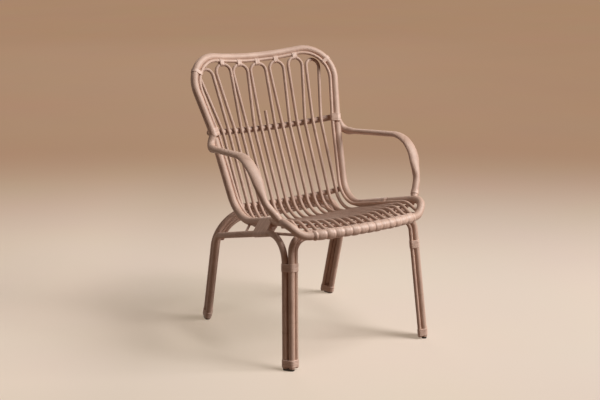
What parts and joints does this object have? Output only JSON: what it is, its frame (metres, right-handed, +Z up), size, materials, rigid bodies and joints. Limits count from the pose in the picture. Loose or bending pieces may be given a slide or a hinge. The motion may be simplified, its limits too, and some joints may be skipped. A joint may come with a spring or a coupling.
{
  "type": "rattan armchair",
  "caption": "Low rattan armchair with a bent pole hoop that swells into flat arms, looped spindles that run from the back into the seat, and bent leg arches bound with cane.",
  "frame": {"origin": "on the floor, under the middle of the overall box", "axes": "+Z up, front of the chair towards -Y, +X to the right of someone who faces its front"},
  "size_m": [0.6298, 0.6989, 0.8823],
  "materials": {
    "rattan_pole": "matte",
    "rattan_core": "matte",
    "cane_binding": "satin",
    "foot_glide": "matte"
  },
  "bodies": {
    "root": {"arm_band_left": "cane_binding", "arm_band_right": "cane_binding", "back_arm_hoop": "rattan_pole", "centre_spindle": "rattan_core", "corner_band_left": "cane_binding", "corner_band_right": "cane_binding", "corner_stay_left": "rattan_core", "corner_stay_right": "rattan_core", "front_arch_inner": "rattan_core", "front_arch_tie_left": "cane_binding", "front_arch_tie_right": "cane_binding", "front_cross_rail": "rattan_pole", "front_foot_band_left": "cane_binding", "front_foot_band_right": "cane_binding", "front_foot_glide_left": "foot_glide", "front_foot_glide_right": "foot_glide", "front_leg_arch": "rattan_pole", "front_leg_band_left": "cane_binding", "front_leg_band_right": "cane_binding", "front_rail_wrap": "cane_binding", "inner_hoop": "rattan_core", "low_back_rail": "rattan_pole", "mid_back_rail": "rattan_pole", "rear_arch_brace": "rattan_core", "rear_arch_inner": "rattan_core", "rear_arch_tie_left": "cane_binding", "rear_arch_tie_right": "cane_binding", "rear_foot_band_left": "cane_binding", "rear_foot_band_right": "cane_binding", "rear_foot_glide_left": "foot_glide", "rear_foot_glide_right": "foot_glide", "rear_leg_arch": "rattan_pole", "seat_rim": "rattan_pole", "side_arch_left": "rattan_pole", "side_arch_right": "rattan_pole", "side_band_left": "cane_binding", "side_band_right": "cane_binding", "side_post_left": "rattan_core", "side_post_right": "rattan_core", "spindle_loop_1": "rattan_core", "spindle_loop_2": "rattan_core", "spindle_loop_3": "rattan_core", "spindle_loop_4": "rattan_core", "spindle_loop_5": "rattan_core", "spindle_loop_6": "rattan_core", "spindle_loop_7": "rattan_core", "top_band_inner_left": "cane_binding", "top_band_inner_right": "cane_binding", "top_band_middle": "cane_binding", "top_band_outer_left": "cane_binding", "top_band_outer_right": "cane_binding", "waist_band_left": "cane_binding", "waist_band_right": "cane_binding"}
  },
  "joints": []
}
